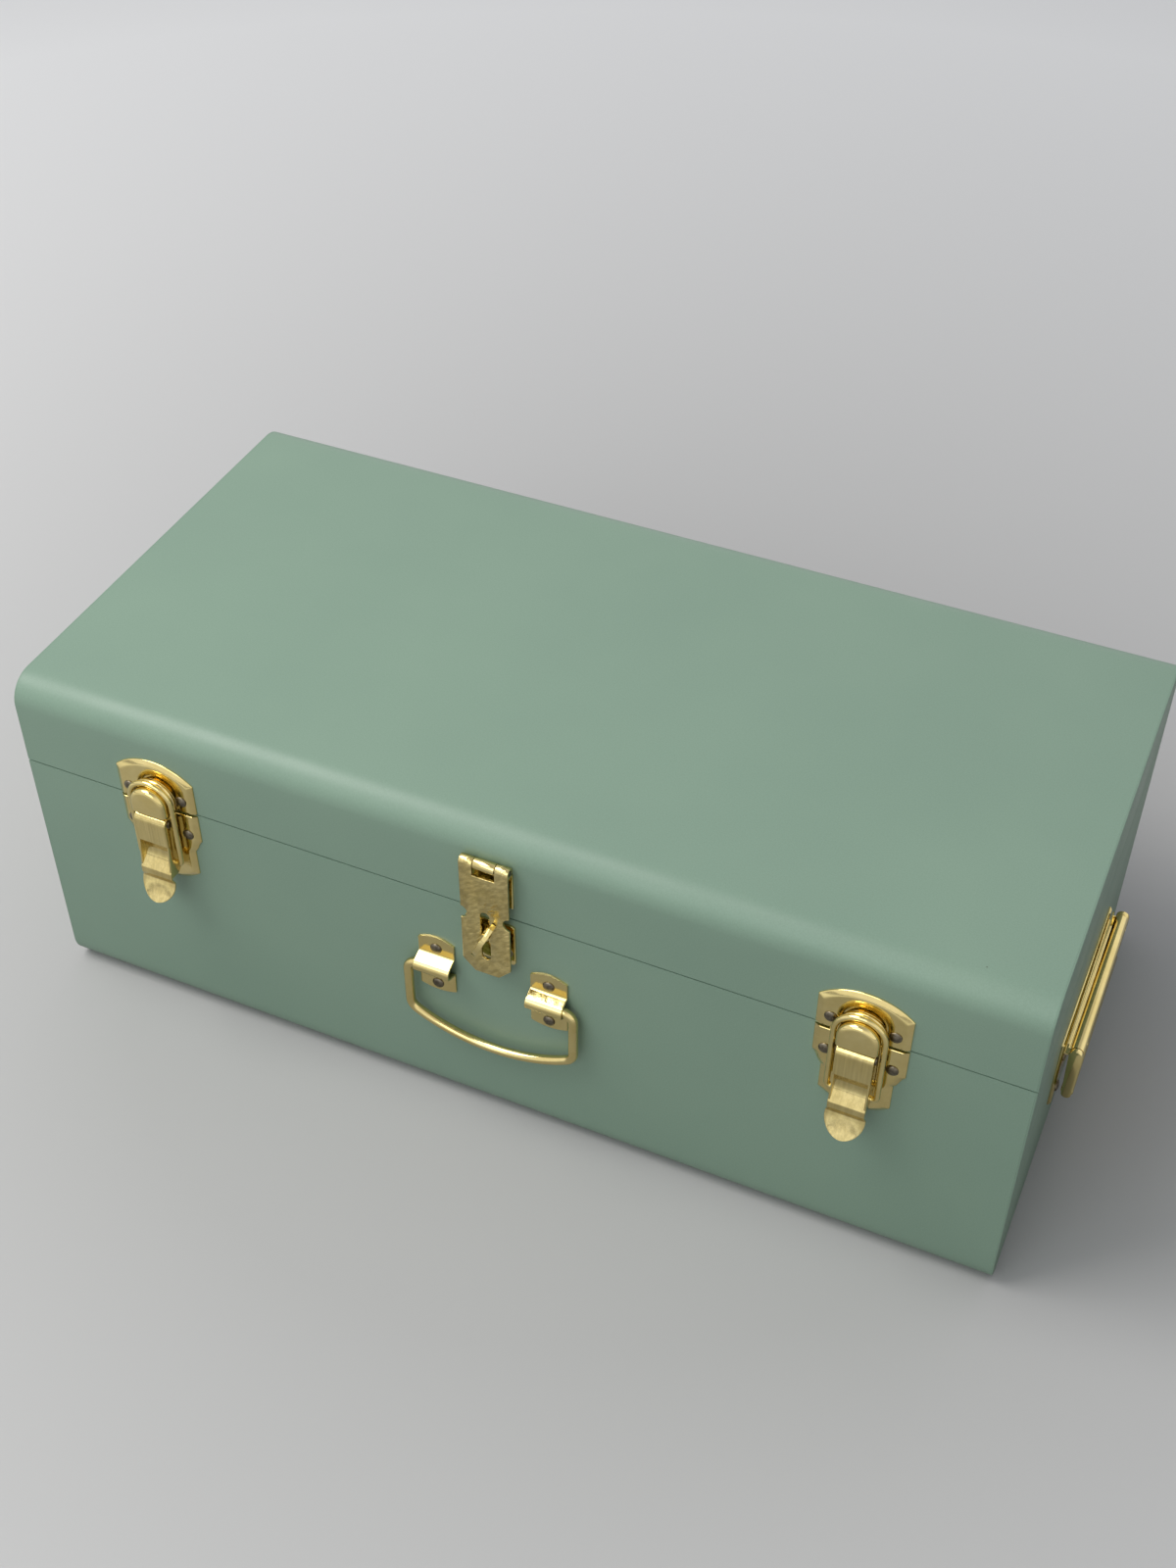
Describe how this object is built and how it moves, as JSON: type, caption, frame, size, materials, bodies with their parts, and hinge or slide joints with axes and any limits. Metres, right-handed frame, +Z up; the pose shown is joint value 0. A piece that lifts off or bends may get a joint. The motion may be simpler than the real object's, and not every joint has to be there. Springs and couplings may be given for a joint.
{
  "type": "storage trunk",
  "caption": "Sheet-steel storage trunk with a rear-hinged lid, toggle latches, a hasp with a turning staple, a wire front handle and swinging end handles.",
  "frame": {"origin": "middle of the flat underside of the sheet base", "axes": "+X to the trunk's right as seen from its latched front, +Y from the front to the hinged back, +Z up"},
  "size_m": [0.521, 0.2709, 0.19],
  "materials": {
    "paint": "satin powder coat",
    "brass": "bright plated",
    "rivet_steel": "dull"
  },
  "bodies": {
    "base": {"base_shell": "paint", "base_end_left": "paint", "base_end_right": "paint", "base_rim": "paint", "hinge_base_leaf_left": "brass", "hinge_base_leaf_right": "brass", "hinge_pin_left": "rivet_steel", "hinge_pin_right": "rivet_steel", "hinge_base_rivets": "rivet_steel", "latch_plate_left": "brass", "latch_plate_right": "brass", "latch_pin_left": "rivet_steel", "latch_pin_right": "rivet_steel", "latch_plate_rivets": "rivet_steel", "staple_plate": "brass", "staple_rivets": "rivet_steel", "front_bracket_left": "brass", "front_bracket_right": "brass", "front_handle_rivets": "rivet_steel", "side_plate_left": "brass", "side_plate_right": "brass", "side_handle_rivets": "rivet_steel"},
    "lid": {"lid_shell": "paint", "lid_end_left": "paint", "lid_end_right": "paint", "hinge_lid_leaf_left": "brass", "hinge_lid_leaf_right": "brass", "hinge_lid_rivets": "rivet_steel", "latch_keeper_left": "brass", "latch_keeper_right": "brass", "latch_keeper_rivets": "rivet_steel", "hasp_leaf": "brass", "hasp_pin": "rivet_steel", "hasp_leaf_rivets": "rivet_steel"},
    "lever_left": {"latch_lever_left": "brass"},
    "lever_right": {"latch_lever_right": "brass"},
    "loop_left": {"latch_loop_left": "brass"},
    "loop_right": {"latch_loop_right": "brass"},
    "strap": {"hasp_strap": "brass"},
    "staple": {"turn_staple": "brass"},
    "front_bail": {"front_bail": "brass"},
    "side_bail_left": {"side_bail_left": "brass"},
    "side_bail_right": {"side_bail_right": "brass"}
  },
  "joints": [
    {"name": "lid_hinge", "type": "hinge", "parent": "base", "child": "lid", "pos_m": [0, 0.1271, 0.142], "axis": [-1, 0, 0], "range_deg": [0, 105]},
    {"name": "lever_left_pivot", "type": "hinge", "parent": "base", "child": "lever_left", "pos_m": [-0.1746, -0.1305, 0.1369], "axis": [-1, 0, 0], "range_deg": [0, 90]},
    {"name": "loop_left_pivot", "type": "hinge", "parent": "lever_left", "child": "loop_left", "pos_m": [-0.1746, -0.1302, 0.111], "axis": [-1, 0, 0], "range_deg": [-112.5, 0]},
    {"name": "lever_right_pivot", "type": "hinge", "parent": "base", "child": "lever_right", "pos_m": [0.1746, -0.1305, 0.1369], "axis": [-1, 0, 0], "range_deg": [0, 90]},
    {"name": "loop_right_pivot", "type": "hinge", "parent": "lever_right", "child": "loop_right", "pos_m": [0.1746, -0.1302, 0.111], "axis": [-1, 0, 0], "range_deg": [-112.5, 0]},
    {"name": "strap_hinge", "type": "hinge", "parent": "lid", "child": "strap", "pos_m": [0, -0.1271, 0.174], "axis": [-1, 0, 0], "range_deg": [0, 178]},
    {"name": "staple_turn", "type": "hinge", "parent": "base", "child": "staple", "pos_m": [0, -0.124, 0.1315], "axis": [0, 1, 0], "range_deg": [-25, 65]},
    {"name": "front_bail_swing", "type": "hinge", "parent": "base", "child": "front_bail", "pos_m": [0, -0.1286, 0.0966], "axis": [-1, 0, 0], "range_deg": [0, 135]},
    {"name": "side_bail_left_swing", "type": "hinge", "parent": "base", "child": "side_bail_left", "pos_m": [-0.2572, 0, 0.0845], "axis": [0, 1, 0], "range_deg": [0, 95]},
    {"name": "side_bail_right_swing", "type": "hinge", "parent": "base", "child": "side_bail_right", "pos_m": [0.2572, 0, 0.0845], "axis": [0, -1, 0], "range_deg": [0, 95]}
  ],
  "couplings": [
    {"joint": "loop_left_pivot", "follows": "lever_left_pivot", "ratio": -1.25},
    {"joint": "loop_right_pivot", "follows": "lever_right_pivot", "ratio": -1.25}
  ]
}
